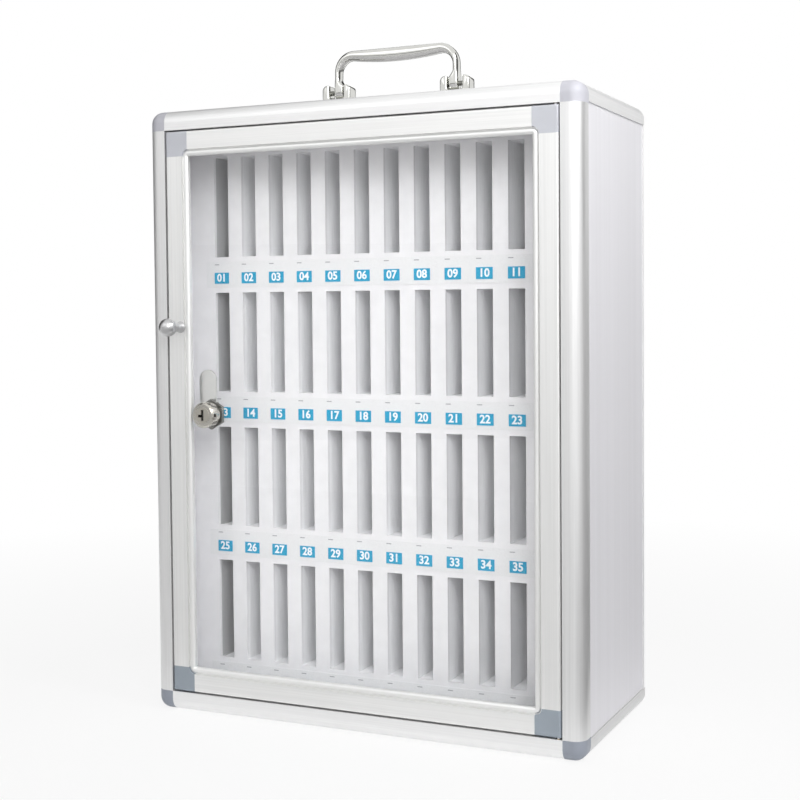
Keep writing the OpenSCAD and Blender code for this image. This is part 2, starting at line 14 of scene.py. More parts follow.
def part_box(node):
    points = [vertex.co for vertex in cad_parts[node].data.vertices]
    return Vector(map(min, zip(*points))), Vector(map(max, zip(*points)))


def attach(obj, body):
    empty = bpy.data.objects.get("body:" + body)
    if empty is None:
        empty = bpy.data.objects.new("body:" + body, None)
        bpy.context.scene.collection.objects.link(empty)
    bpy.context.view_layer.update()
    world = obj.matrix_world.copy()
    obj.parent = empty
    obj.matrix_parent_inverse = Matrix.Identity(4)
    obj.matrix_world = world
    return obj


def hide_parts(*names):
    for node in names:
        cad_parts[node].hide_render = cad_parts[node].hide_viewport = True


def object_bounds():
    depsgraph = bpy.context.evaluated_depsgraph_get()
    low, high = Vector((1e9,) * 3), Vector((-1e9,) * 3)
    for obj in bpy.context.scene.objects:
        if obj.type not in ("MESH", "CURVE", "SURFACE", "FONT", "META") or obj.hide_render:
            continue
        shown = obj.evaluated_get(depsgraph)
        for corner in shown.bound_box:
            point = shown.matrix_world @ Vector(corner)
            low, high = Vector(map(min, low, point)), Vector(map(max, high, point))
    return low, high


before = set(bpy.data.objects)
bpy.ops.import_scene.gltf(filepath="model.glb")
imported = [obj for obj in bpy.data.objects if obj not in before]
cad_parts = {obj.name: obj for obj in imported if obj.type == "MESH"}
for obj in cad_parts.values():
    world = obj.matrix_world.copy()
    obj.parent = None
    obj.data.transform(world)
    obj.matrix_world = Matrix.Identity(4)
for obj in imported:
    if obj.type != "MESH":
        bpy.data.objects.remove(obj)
cad_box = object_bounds()

MM = 0.001
WHITE = (1.0, 1.0, 1.0, 1.0)


# Colours and node trees

def linear(red, green, blue):
    """A colour written from 0 to 255, as linear values."""
    def channel(value):
        value /= 255
        return value / 12.92 if value <= 0.04045 else ((value + 0.055) / 1.055) ** 2.4
    return (channel(red), channel(green), channel(blue), 1.0)


def shade(colour, factor):
    """The colour darkened by a factor."""
    return tuple(channel * factor for channel in colour[:3]) + (1.0,)


class Nodes:
    """A node tree, filled by short calls that return output sockets."""

    def __init__(self, owner, output_kind):
        owner.use_nodes = True
        self.owner = owner
        self.tree = owner.node_tree
        self.tree.nodes.clear()
        self.output = self.tree.nodes.new(output_kind)

    def node(self, kind, inputs=None, **settings):
        """A new node whose inputs are sockets or plain values."""
        made = self.tree.nodes.new(kind)
        for key, value in settings.items():
            setattr(made, key, value)
        for key, value in (inputs or {}).items():
            if isinstance(value, bpy.types.NodeSocket):
                self.tree.links.new(value, made.inputs[key])
            else:
                made.inputs[key].default_value = value
        return made

    def span(self, factor, low, high, from_low=0.3, from_high=0.7):
        """A range of the factor, by default its middle, spread from low to high."""
        return self.node("ShaderNodeMapRange", {
            "Value": factor, "From Min": from_low, "From Max": from_high,
            "To Min": low, "To Max": high}).outputs["Result"]

    def seen_directly(self):
        """1 for rays from the camera, from gloss and through the pane, 0 for all others."""
        path = self.node("ShaderNodeLightPath")
        seen = path.outputs["Is Camera Ray"]
        for ray in ("Is Glossy Ray", "Is Transmission Ray"):
            seen = self.node("ShaderNodeMath", {0: seen, 1: path.outputs[ray]},
                             operation="MAXIMUM").outputs[0]
        return seen

    def finish(self, surface):
        """Ends the tree with what its surface shows."""
        self.tree.links.new(surface, self.output.inputs["Surface"])
        return self.owner


class Shader(Nodes):
    """A material's node tree."""

    def __init__(self, name):
        super().__init__(bpy.data.materials.new(name), "ShaderNodeOutputMaterial")

    def place(self):
        """The point's place in its object, in metres."""
        return self.node("ShaderNodeTexCoord").outputs["Object"]

    def stretched_noise(self, repeats, detail=3.0):
        """Noise whose grain is (x, y, z) repeats to the metre."""
        spread = self.node("ShaderNodeMapping", {"Vector": self.place(), "Scale": repeats})
        return self.node("ShaderNodeTexNoise", {
            "Vector": spread.outputs["Vector"], "Scale": 1.0, "Detail": detail,
            "Roughness": 0.6}).outputs["Fac"]

    def ramp(self, factor, *stops):
        """Colours between (position, colour) stops."""
        node = self.node("ShaderNodeValToRGB", {"Fac": factor})
        for element, (position, colour) in zip(node.color_ramp.elements, stops):
            element.position = position
            element.color = colour
        return node.outputs["Color"]

    def mottled(self, factor, colour, darkest):
        """The colour, darkened by a factor where the noise is low."""
        return self.ramp(factor, (0.3, shade(colour, darkest)), (0.7, colour))

    def mix(self, share, first, second):
        """Two colours mixed; a Mix node takes colours at 6 and 7 and gives one at 2."""
        return self.node("ShaderNodeMix", {0: share, 6: first, 7: second},
                         data_type="RGBA").outputs[2]

    def mix_surfaces(self, share, first, second):
        """Two surfaces mixed."""
        return self.node("ShaderNodeMixShader",
                         {0: share, 1: first, 2: second}).outputs["Shader"]

    def bump(self, height, strength, distance):
        """A normal that a height disturbs."""
        return self.node("ShaderNodeBump", {
            "Height": height, "Strength": strength, "Distance": distance}).outputs["Normal"]

    def principled(self, **inputs):
        """Ends the tree with one Principled node; keys use _ for a space."""
        named = {key.replace("_", " "): value for key, value in inputs.items()}
        return self.finish(self.node("ShaderNodeBsdfPrincipled", named).outputs["BSDF"])


# Materials

# Repeats to the metre of lines that run along one axis
LINES_ALONG = {
    "x": (6.0, 900.0, 900.0), "y": (900.0, 6.0, 900.0), "z": (900.0, 900.0, 6.0)}
CLOUD_SHARE = 0.3


def brushed_aluminium(name, colour, direction, metallic=0.75, rough=0.42):
    """Anodised aluminium with fine drawing lines along one axis."""
    shader = Shader(name)
    lines = shader.stretched_noise(LINES_ALONG[direction])
    clouds = shader.stretched_noise((14.0, 14.0, 9.0), detail=2.0)
    return shader.principled(
        Base_Color=shader.mix(CLOUD_SHARE, shader.mottled(lines, colour, 0.9),
                              shader.mottled(clouds, colour, 0.95)),
        Metallic=metallic,
        Roughness=shader.span(lines, rough - 0.05, rough + 0.07),
        Normal=shader.bump(lines, 0.12, 0.0003))


def lined_panel(name, colour):
    """Coated sheet with faint upright rolling lines."""
    shader = Shader(name)
    lines = shader.stretched_noise((260.0, 260.0, 1.5), detail=2.0)
    return shader.principled(
        Base_Color=shader.ramp(lines, (0.35, shade(colour, 0.965)), (0.65, colour)),
        Metallic=0.15,
        Specular_IOR_Level=0.25,
        Roughness=shader.span(lines, 0.5, 0.6),
        Normal=shader.bump(lines, 0.06, 0.0003))


def moulded_plastic(name, colour, rough=0.45):
    """Injection moulded plastic with a fine spark texture."""
    shader = Shader(name)
    grain = shader.stretched_noise((1800.0, 1800.0, 1800.0), detail=2.0)
    clouds = shader.stretched_noise((60.0, 60.0, 60.0), detail=2.0)
    return shader.principled(
        Base_Color=shader.mottled(clouds, colour, 0.95),
        Roughness=shader.span(grain, rough - 0.06, rough + 0.08),
        Normal=shader.bump(grain, 0.1, 0.0002))


# Painted shade: the outer left column of slots is darker, from here leftwards, where the case's
# left side shades it
OUTER_COLUMN_X = -0.15
OUTER_COLUMN_FADE = 0.002
OUTER_COLUMN_PAINTED_SHADE = 0.5


def foam_lining(name, colour):
    """Pale lining of the slots with upright fibres, and painted shade in the outer left column."""
    shader = Shader(name)
    fibres = shader.stretched_noise((700.0, 700.0, 45.0), detail=4.0)
    across = shader.node("ShaderNodeSeparateXYZ", {"Vector": shader.place()}).outputs["X"]
    # Share of painted shade, 1 in the outer left column and 0 elsewhere
    outer = shader.span(across, 1.0, 0.0, OUTER_COLUMN_X - OUTER_COLUMN_FADE, OUTER_COLUMN_X)
    return shader.principled(
        Base_Color=shader.mix(outer, shader.mottled(fibres, colour, 0.92),
                              shade(colour, OUTER_COLUMN_PAINTED_SHADE)),
        Roughness=shader.span(fibres, 0.85, 0.98),
        Normal=shader.bump(fibres, 0.4, 0.0006))


def polished_metal(name, colour, rough):
    """Plated or turned metal with a slight unevenness in its gloss."""
    shader = Shader(name)
    clouds = shader.stretched_noise((70.0, 70.0, 70.0), detail=1.0)
    return shader.principled(
        Base_Color=shader.mottled(clouds, colour, 0.93),
        Metallic=1.0,
        Roughness=shader.span(clouds, rough, rough + 0.05),
        Normal=shader.bump(clouds, 0.02, 0.0003))


def printed(name, colour):
    """Thin printed film."""
    shader = Shader(name)
    grain = shader.stretched_noise((900.0, 900.0, 900.0), detail=2.0)
    return shader.principled(
        Base_Color=shader.mottled(grain, colour, 0.94),
        Specular_IOR_Level=0.15,
        Roughness=shader.span(grain, 0.36, 0.45))


def clear_pane(name):
    """Clear acrylic that lets the lamps' light through."""
    shader = Shader(name)
    smears = shader.stretched_noise((9.0, 9.0, 5.0))
    glass = shader.node("ShaderNodeBsdfPrincipled", {
        "Base Color": WHITE, "Roughness": shader.span(smears, 0.0, 0.012),
        "IOR": 1.45, "Specular IOR Level": 0.06, "Transmission Weight": 1.0})
    through = shader.node("ShaderNodeBsdfTransparent", {"Color": (0.97, 0.98, 0.98, 1.0)})
    shadow_ray = shader.node("ShaderNodeLightPath").outputs["Is Shadow Ray"]
    return shader.finish(
        shader.mix_surfaces(shadow_ray, glass.outputs["BSDF"], through.outputs["BSDF"]))


FRAME_COLOUR = linear(248, 248, 248)
# Painted shade: the bottom side rails take a darker copy of the frame's colour
LOW_RAIL_PAINTED_SHADE = shade(FRAME_COLOUR, 0.78)
# Painted shade: the uprights, rear edges and door stops take a slightly darker copy of the frame's
# colour
UPRIGHT_PAINTED_SHADE = shade(FRAME_COLOUR, 0.91)
DOOR_COLOUR = linear(250, 250, 249)
MATERIALS = {material.name: material for material in (
    brushed_aluminium("frame_along_x", FRAME_COLOUR, "x"),
    brushed_aluminium("frame_along_y", FRAME_COLOUR, "y", metallic=0.55),
    brushed_aluminium("frame_along_y_low_painted_shade", LOW_RAIL_PAINTED_SHADE, "y"),
    brushed_aluminium("frame_along_z_painted_shade", UPRIGHT_PAINTED_SHADE, "z", rough=0.46),
    brushed_aluminium("door_along_x", DOOR_COLOUR, "x"),
    brushed_aluminium("door_along_z", DOOR_COLOUR, "z"),
    lined_panel("panel", linear(243, 242, 246)),
    # Painted shade: the bottom corner caps and door corners are darker copies of the top ones'
    # plastic
    moulded_plastic("cap", linear(206, 206, 214)),
    moulded_plastic("cap_low_painted_shade", linear(160, 166, 178)),
    moulded_plastic("block", linear(214, 216, 223)),
    moulded_plastic("block_low_painted_shade", linear(162, 172, 182)),
    clear_pane("pane"),
    moulded_plastic("rack", linear(237, 236, 238), rough=0.4),
    foam_lining("lining", linear(251, 251, 253)),
    printed("label", linear(234, 234, 235)),
    printed("plate", linear(4, 159, 201)),
    printed("digits", linear(244, 248, 250)),
    printed("ticks", linear(172, 172, 176)),
    polished_metal("chrome", linear(218, 218, 214), 0.1),
    polished_metal("knob", linear(204, 204, 205), 0.34),
    polished_metal("lock", linear(208, 205, 197), 0.18),
    # Painted dark reflection and shade: the plated nut behind the pane is given a dark grey; the
    # handle pins share it
    polished_metal("nut", linear(128, 128, 124), 0.3),
    polished_metal("plug", linear(196, 192, 182), 0.28),
    # Painted shade: the wafers are near black where the keyway and side slots are in shade
    moulded_plastic("wafer", linear(44, 42, 38), rough=0.6),
    polished_metal("cam", linear(216, 216, 214), 0.3),
    polished_metal("screw", linear(190, 190, 194), 0.22),
    polished_metal("brass", linear(205, 176, 110), 0.25),
)}

MATERIAL_NODES = {
    "frame_along_x": ("front_rail_top", "front_rail_bottom", "rear_rail_top", "rear_rail_bottom"),
    "frame_along_y": ("side_rail_top_left", "side_rail_top_right"),
    "frame_along_y_low_painted_shade": ("side_rail_bottom_left", "side_rail_bottom_right"),
    "frame_along_z_painted_shade": ("front_rail_left", "front_rail_right", "rear_edge_left", "rear_edge_right",
                      "door_stops"),
    "door_along_x": ("door_rail_top", "door_rail_bottom"),
    "door_along_z": ("door_rail_left", "door_rail_right"),
    "panel": ("panel_left", "panel_right", "panel_top", "panel_bottom", "panel_back"),
    "cap": ("corner_cap_top_left", "corner_cap_top_right"),
    "cap_low_painted_shade": ("corner_cap_bottom_left", "corner_cap_bottom_right"),
    "block": ("door_corner_top_left", "door_corner_top_right"),
    "block_low_painted_shade": ("door_corner_bottom_left", "door_corner_bottom_right"),
    "pane": ("door_pane",),
    "rack": ("rack_side_left", "rack_side_right", "rack_back", "rack_bands", "slot_strips"),
    "lining": ("rack_shelves", "slot_dividers_1", "slot_dividers_2", "slot_dividers_3",
               "slot_dividers_4"),
    "label": ("label_strips",),
    "plate": ("number_plates",),
    "chrome": ("handle_bracket_left", "handle_bracket_right", "handle_bow"),
    "knob": ("door_knob",),
    "lock": ("lock_housing",),
    "nut": ("lock_nut", "handle_pins"),
    "plug": ("lock_plug",),
    "cam": ("lock_cam",),
    "screw": ("handle_screws", "knob_screw", "hinge_pins", "cam_screw"),
    "brass": ("hinge_bushes",),
}
for material_name, node_names in MATERIAL_NODES.items():
    for node_name in node_names:
        node_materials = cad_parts[node_name].data.materials
        node_materials.clear()
        node_materials.append(MATERIALS[material_name])

# Edges that a cast or turned piece has rounded, in millimetres
ROUNDED_EDGES = {
    "lock_housing": 0.35, "lock_nut": 0.4, "lock_plug": 0.25, "lock_cam": 0.3, "door_knob": 0.5,
    "door_corner_top_left": 0.3, "door_corner_top_right": 0.3,
    "door_corner_bottom_left": 0.3, "door_corner_bottom_right": 0.3,
}
WELD_DISTANCE = 0.01
ROUNDING_SEGMENTS = 3
FLAT_ANGLE = math.radians(0.5)
EDGE_ANGLE = math.radians(40)
for node_name, radius in ROUNDED_EDGES.items():
    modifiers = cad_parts[node_name].modifiers
    weld = modifiers.new("weld", "WELD")
    weld.merge_threshold = WELD_DISTANCE * MM
    flat_faces = modifiers.new("flat_faces", "DECIMATE")
    flat_faces.decimate_type = "DISSOLVE"
    flat_faces.angle_limit = FLAT_ANGLE
    bevel = modifiers.new("rounded_edges", "BEVEL")
    bevel.width = radius * MM
    bevel.segments = ROUNDING_SEGMENTS
    bevel.limit_method = "ANGLE"
    bevel.angle_limit = EDGE_ANGLE
    bevel.harden_normals = True


# Meshes and pieces

PLATE_CORNER_STEPS = 4


def new_mesh(name, vertices, faces):
    """A mesh from its vertices and faces."""
    mesh = bpy.data.meshes.new(name)
    mesh.from_pydata(vertices, [], faces)
    return mesh


def ring_faces(rings, around):
    """Quads between neighbouring rings of points."""
    return [(ring * around + step, ring * around + (step + 1) % around,
             (ring + 1) * around + (step + 1) % around, (ring + 1) * around + step)
            for ring in range(rings - 1) for step in range(around)]


def flipped(faces):
    """The faces with their other side out."""
    return [face[::-1] for face in faces]


def prism(name, outline, front, back):
    """A convex outline in the XZ plane, counterclockwise as seen from the front, given depth."""
    count = len(outline)
    vertices = [(x, y, z) for y in (front, back) for x, z in outline]
    faces = [tuple(range(count)), tuple(range(2 * count - 1, count - 1, -1))]
    return new_mesh(name, vertices, faces + flipped(ring_faces(2, count)))


def rounded_plate(sizes):
    """A plate in the XZ plane with rounded corners, its front at y = 0.

    The sizes are its width, height, depth and corner in millimetres."""
    width, height, depth, corner = (size * MM for size in sizes)
    outline = []
    for turns, (side_x, side_z) in enumerate([(1, 1), (-1, 1), (-1, -1), (1, -1)]):
        for step in range(PLATE_CORNER_STEPS + 1):
            turn = math.radians(90 * (turns + step / PLATE_CORNER_STEPS))
            outline.append((side_x * (width / 2 - corner) + corner * math.cos(turn),
                            side_z * (height / 2 - corner) + corner * math.sin(turn)))
    return prism("plate", outline, 0.0, depth)


def joined(name, placed_meshes):
    """One mesh from (mesh, place) pairs."""
    vertices, faces = [], []
    for mesh, place in placed_meshes:
        start = len(vertices)
        vertices += [tuple(vertex.co + place) for vertex in mesh.vertices]
        faces += [tuple(start + index for index in polygon.vertices)
                  for polygon in mesh.polygons]
    result = new_mesh(name, vertices, faces)
    result.validate()
    result.update()
    return result


def add_piece(name, mesh, material, body):
    """Puts a finished mesh in the scene as a piece that rides on a body."""
    piece = bpy.data.objects.new(name, mesh)
    bpy.context.scene.collection.objects.link(piece)
    mesh.materials.clear()
    mesh.materials.append(MATERIALS[material])
    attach(piece, body)
    return piece


# Half the carry handle, in millimetres from its middle and above its pivots
BOW_HALF_WIDTH = 56.3
BOW_RISE = 34.0
BOW_DEPTH = 11.0
BOW_BEND = 17.0
BOW_INNER_BEND = 10.5
BOW_LEG = 5.0
BOW_GRIP = 8.2
BOW_BELLY = 3.0
BOW_FOOT = 8.1
BOW_FLARE_TOP = 12.0
BOW_FLARE_LOW = 4.5
# Squareness of the bar's section, where 2 is an ellipse
BAR_SQUARENESS = 2.3
FOOT_SQUARENESS = 5.0
# How far round the foot's rounded end the sections go, in degrees
FOOT_END_TURN = 84
GRIP_STEPS = 13
BEND_STEPS = 12
LEG_STEPS = 12
FOOT_STEPS = 7
BAR_POINTS = 32


def smooth_step(low, high, value):
    """0 below low, 1 above high, and a smooth rise between them."""
    share = min(1.0, max(0.0, (value - low) / (high - low)))
    return share * share * (3 - 2 * share)


def bow_half():
    """Sections of the handle from its middle to a foot.

    Each is an outer point, an inner point, the depth and the squareness."""
    inner_x = BOW_HALF_WIDTH - BOW_LEG
    grip_end = inner_x - BOW_INNER_BEND
    bend_x, bend_z = BOW_HALF_WIDTH - BOW_BEND, BOW_RISE - BOW_BEND
    inner_bend_z = BOW_RISE - BOW_GRIP - BOW_INNER_BEND
    sections = []
    for step in range(GRIP_STEPS):
        share = step / GRIP_STEPS
        under = BOW_RISE - BOW_GRIP - BOW_BELLY * (1 - share ** 2)
        sections.append(((bend_x * share, BOW_RISE), (grip_end * share, under),
                         BOW_DEPTH, BAR_SQUARENESS))
    for step in range(BEND_STEPS + 1):
        turn = math.radians(90 * step / BEND_STEPS)
        outer = (bend_x + BOW_BEND * math.sin(turn), bend_z + BOW_BEND * math.cos(turn))
        inner = (grip_end + BOW_INNER_BEND * math.sin(turn),
                 inner_bend_z + BOW_INNER_BEND * math.cos(turn))
        sections.append((outer, inner, BOW_DEPTH, BAR_SQUARENESS))
    for step in range(1, LEG_STEPS + 1):
        left_over = 1 - step / LEG_STEPS
        outer_z = bend_z * left_over
        flare = 1 - smooth_step(BOW_FLARE_LOW, BOW_FLARE_TOP, outer_z)
        inner = (inner_x + (BOW_LEG - BOW_FOOT) * flare, inner_bend_z * left_over)
        squareness = BAR_SQUARENESS + (FOOT_SQUARENESS - BAR_SQUARENESS) * flare
        sections.append(((BOW_HALF_WIDTH, outer_z), inner, BOW_DEPTH, squareness))
    for step in range(1, FOOT_STEPS + 1):
        turn = math.radians(FOOT_END_TURN * step / FOOT_STEPS)
        drop = -BOW_DEPTH / 2 * math.sin(turn)
        sections.append(((BOW_HALF_WIDTH, drop), (BOW_HALF_WIDTH - BOW_FOOT, drop),
                         BOW_DEPTH * math.cos(turn), FOOT_SQUARENESS))
    return sections


def superellipse(turn, squareness):
    """A point at a turn round a rounded square from -1 to 1."""
    across, along = math.cos(turn), math.sin(turn)
    power = 2 / squareness
    return (math.copysign(abs(across) ** power, across),
            math.copysign(abs(along) ** power, along))


def bow_mesh(middle):
    """The handle as one smooth bar swept from foot to foot."""
    half = bow_half()
    mirrored = [((-outer[0], outer[1]), (-inner[0], inner[1]), depth, squareness)
                for outer, inner, depth, squareness in half[:0:-1]]
    sections = mirrored + half
    vertices = []
    for outer, inner, depth, squareness in sections:
        for step in range(BAR_POINTS):
            thick, deep = superellipse(2 * math.pi * step / BAR_POINTS, squareness)
            x = (outer[0] + inner[0]) / 2 + (outer[0] - inner[0]) / 2 * thick
            z = (outer[1] + inner[1]) / 2 + (outer[1] - inner[1]) / 2 * thick
            vertices.append(middle + Vector((x, depth / 2 * deep, z)) * MM)
    faces = ring_faces(len(sections), BAR_POINTS)
    faces.append(tuple(range(BAR_POINTS))[::-1])
    faces.append(tuple(range(len(vertices) - BAR_POINTS, len(vertices))))
    mesh = new_mesh("carry_handle", vertices, faces)
    mesh.polygons.foreach_set("use_smooth", [True] * len(faces))
    return mesh


bow_low, bow_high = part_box("handle_bow")
pivot = Vector((0, (bow_low.y + bow_high.y) / 2, bow_high.z - BOW_RISE * MM))
carry_handle = add_piece("carry_handle", bow_mesh(pivot), "chrome", "handle")
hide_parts("handle_bow")

# A cast bracket of the handle, in millimetres from its middle and above the foot's underside
EAR_INNER_X, EAR_OUTER_X = 6.7, 13.0
EAR_CORNER = 4.5
EAR_INNER_CORNER = 1.2
BRACKET_DEPTH = 13.0
BRACKET_EDGE = 1.5
SLOT_FLOOR = 13.2
SLOT_BEND = 2.5
FOOT_X = 22.0
FOOT_DEPTH = 17.0
FOOT_RISE = 2.5
FOOT_EDGE = 0.4
CORNER_STEPS = 6
EDGE_STEPS = 4
SMOOTH_BELOW = math.radians(35)


def quarter(middle_x, middle_z, radius, start, turn=90):
    """Points round a quarter circle, from a start angle in degrees."""
    angles = [math.radians(start + turn * step / CORNER_STEPS) for step in range(CORNER_STEPS + 1)]
    return [(middle_x + radius * math.cos(angle), middle_z + radius * math.sin(angle))
            for angle in angles]


def bracket_half(rise):
    """The right half of a bracket's outline, from the slot's floor to the foot, as (x, z)."""
    half = quarter(EAR_INNER_X - SLOT_BEND, SLOT_FLOOR + SLOT_BEND, SLOT_BEND, -90)
    half += quarter(EAR_INNER_X + EAR_INNER_CORNER, rise - EAR_INNER_CORNER,
                    EAR_INNER_CORNER, 180, -90)
    half += quarter(EAR_OUTER_X - EAR_CORNER, rise - EAR_CORNER, EAR_CORNER, 90, -90)
    return half + [(EAR_OUTER_X, 0.0)]


def outline_triangles(outline):
    """Triangles over an outline that may be hollow at a side, all turned counterclockwise."""
    triangles = []
    for triangle in tessellate_polygon([[Vector((x, z, 0)) for x, z in outline]]):
        doubled_area = sum(
            outline[a][0] * outline[b][1] - outline[b][0] * outline[a][1]
            for a, b in zip(triangle, triangle[1:] + triangle[:1]))
        triangles.append(triangle if doubled_area > 0 else triangle[::-1])
    return triangles


def slab(outline, depth, edge):
    """An outline in the XZ plane as a slab centred on y = 0, its front and rear edges rounded."""
    turns = [math.radians(90 * step / EDGE_STEPS) for step in range(EDGE_STEPS + 1)]
    rings = []
    for side, side_turns in ((-1, turns), (1, turns[::-1])):
        for turn in side_turns:
            rings.append((side * (depth / 2 - edge * (1 - math.cos(turn))),
                          edge * (1 - math.sin(turn))))
    count = len(outline)
    vertices = []
    for y, inset in rings:
        for index, (x, z) in enumerate(outline):
            before, after = Vector(outline[index - 1]), Vector(outline[(index + 1) % count])
            along = (after - before).normalized()
            vertices.append(Vector((x - along.y * inset, y, z + along.x * inset)) * MM)
    faces = flipped(ring_faces(len(rings), count))
    rear = len(vertices) - count
    for triangle in outline_triangles(outline):
        faces.append(triangle)
        faces.append(tuple(rear + index for index in triangle[::-1]))
    return new_mesh("slab", vertices, faces)


for bracket_name in ("handle_bracket_left", "handle_bracket_right"):
    low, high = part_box(bracket_name)
    right_half = bracket_half((high.z - low.z) / MM)
    ears_outline = right_half[::-1] + [(-x, z) for x, z in right_half]
    foot_outline = [(-FOOT_X, 0.0), (FOOT_X, 0.0), (FOOT_X, FOOT_RISE), (-FOOT_X, FOOT_RISE)]
    foot_place = Vector(((low.x + high.x) / 2, (low.y + high.y) / 2, low.z))
    cast = joined(bracket_name + "_cast", [
        (slab(ears_outline, BRACKET_DEPTH, BRACKET_EDGE), foot_place),
        (slab(foot_outline, FOOT_DEPTH, FOOT_EDGE), foot_place)])
    cast.polygons.foreach_set("use_smooth", [True] * len(cast.polygons))
    cast.set_sharp_from_angle(angle=SMOOTH_BELOW)
    bracket = add_piece(bracket_name + "_cast", cast, "chrome", "case")
    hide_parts(bracket_name)

# Wafers that show in the side slots of the lock's head and in its keyway, in millimetres; real
# parts, coloured near black as painted shade of those hollows
LOCK_HEAD_RADIUS = 10.5
SIDE_SLOT_TURNS = (0, 62)
SIDE_SLOT_BACK = 2.8
SIDE_WAFER = (2.9, 2.3, 1.0, 0.3)
SIDE_WAFER_SUNK = 0.8
KEYWAY_WAFER = (2.1, 7.8, 0.7, 0.4)
KEYWAY_WAFERS = 4
KEYWAY_START = 1.2
KEYWAY_PITCH = 1.6
KEYWAY_STAGGER = 0.4


def front_middle(node):
    """The middle of a lock piece's front face."""
    low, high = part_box(node)
    return Vector(((low.x + high.x) / 2, low.y, (low.z + high.z) / 2))


def turned(mesh, right, back, up):
    """A mesh made along X, Y and Z turned to lie along the given axes."""
    mesh.transform(Matrix((right, back, up)).transposed().to_4x4())
    return mesh


slot_middle = front_middle("lock_housing") + Vector((0, SIDE_SLOT_BACK * MM, 0))
side_wafers = []
for turn in SIDE_SLOT_TURNS:
    radial = Vector((math.cos(math.radians(turn)), 0, math.sin(math.radians(turn))))
    wafer = turned(rounded_plate(SIDE_WAFER), Vector((0, 1, 0)), -radial,
                   Vector((-radial.z, 0, radial.x)))
    side_wafers.append((wafer, slot_middle + radial * (LOCK_HEAD_RADIUS - SIDE_WAFER_SUNK) * MM))
add_piece("side_wafers", joined("side_wafers", side_wafers), "wafer", "door")

plug_front = front_middle("lock_plug")
keyway_wafers = []
for place in range(KEYWAY_WAFERS):
    back = KEYWAY_START + KEYWAY_PITCH * place
    rise = KEYWAY_STAGGER if place % 2 else -KEYWAY_STAGGER
    keyway_wafers.append(
        (rounded_plate(KEYWAY_WAFER), plug_front + Vector((0, back * MM, rise * MM))))
add_piece("keyway_wafers", joined("keyway_wafers", keyway_wafers), "wafer", "lock")

# Print on the labels, in metres
TIERS = 4
COLUMNS = 12
PLATE_EDGE_DECIMALS = 5
DIGIT_HEIGHT = 6.6 * MM
DIGIT_DEPTH = 0.06 * MM
FONT_SIZE_TO_HEIGHT = 1.38
BOLDNESS = 0.04
CURVE_STEPS = 3
TICK_WIDTH = 4.5 * MM
TICK_HEIGHT = 0.8 * MM
TICK_CLIP = 0.24 * MM
TICK_RISE = 11.5 * MM


def text_mesh(text, height, depth):
    """Bold digits, centred, standing in the XZ plane and facing -Y."""
    curve = bpy.data.curves.new("digits_" + text, "FONT")
    curve.body = text
    curve.align_x = "CENTER"
    curve.align_y = "CENTER"
    curve.size = height * FONT_SIZE_TO_HEIGHT
    curve.offset = height * BOLDNESS
    curve.extrude = depth / 2
    curve.resolution_u = CURVE_STEPS
    holder = bpy.data.objects.new("digits_" + text, curve)
    bpy.context.scene.collection.objects.link(holder)
    bpy.context.view_layer.update()
    evaluated = holder.evaluated_get(bpy.context.evaluated_depsgraph_get())
    mesh = bpy.data.meshes.new_from_object(evaluated)
    bpy.data.objects.remove(holder)
    bpy.data.curves.remove(curve)
    mesh.transform(Matrix.Rotation(math.radians(90), 4, "X"))
    return mesh


def tick_mesh(width, height, depth, clip):
    """A small printed bar with clipped corners."""
    side, end = width / 2, height / 2
    outline = [(-side, clip - end), (clip - side, -end), (side - clip, -end), (side, clip - end),
               (side, end - clip), (side - clip, end), (clip - side, end), (-side, end - clip)]
    return prism("tick", outline, -depth, 0.0)


# The plates' places, from the node that holds all of them
plates_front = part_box("number_plates")[0].y
plate_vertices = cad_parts["number_plates"].data.vertices
plate_xs = sorted({round(vertex.co.x, PLATE_EDGE_DECIMALS) for vertex in plate_vertices})
plate_zs = sorted({round(vertex.co.z, PLATE_EDGE_DECIMALS) for vertex in plate_vertices})
column_centres = [(plate_xs[2 * i] + plate_xs[2 * i + 1]) / 2 for i in range(COLUMNS)]
tier_centres = [(plate_zs[2 * k] + plate_zs[2 * k + 1]) / 2 for k in range(TIERS)][::-1]
plate_width = plate_xs[1] - plate_xs[0]

numbers = []
for tier, height in enumerate(tier_centres):
    for column, across in enumerate(column_centres):
        label = f"{tier * COLUMNS + column + 1:02d}"
        place = Vector((across, plates_front - DIGIT_DEPTH / 2, height))
        numbers.append((text_mesh(label, DIGIT_HEIGHT, DIGIT_DEPTH), place))
add_piece("slot_numbers", joined("slot_numbers", numbers), "digits", "case")

strip_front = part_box("label_strips")[0].y
tick = tick_mesh(TICK_WIDTH, TICK_HEIGHT, DIGIT_DEPTH, TICK_CLIP)
ticks = [
    (tick, Vector((across - plate_width / 2 + TICK_WIDTH / 2, strip_front, height + TICK_RISE)))
    for height in tier_centres for across in column_centres]
add_piece("label_ticks", joined("label_ticks", ticks), "ticks", "case")

# Floor, lamps and cards, in metres
FLOOR_RADIUS = 6
FLOOR_RING = 96
FLOOR_PAINT = (0.9, 0.9, 0.9, 1.0)
# The floor's share of plain white, near the object and from the fade's end on
FADE_SHARES = (0.86, 1.0)
FADE_DISTANCES = (0.35, 1.1)
AMBIENT_LIGHT = 0.34

# name: (place, what it points at, diameter, power in watts)
LAMPS = {
    "key": ((-0.55, -1.35, 1.2), (-0.05, -0.085, 0.35), 0.8, 1.3),
    "front": ((0.85, -1.3, 1.08), (0.0, -0.1, 0.3), 0.8, 9.4),
    "side": ((0.62, -0.25, 0.87), (0.19, -0.04, 0.44), 0.25, 2.6),
    "back": ((-0.4, 1.5, 1.0), (0.0, 0.085, 0.3), 0.8, 2.4),
}
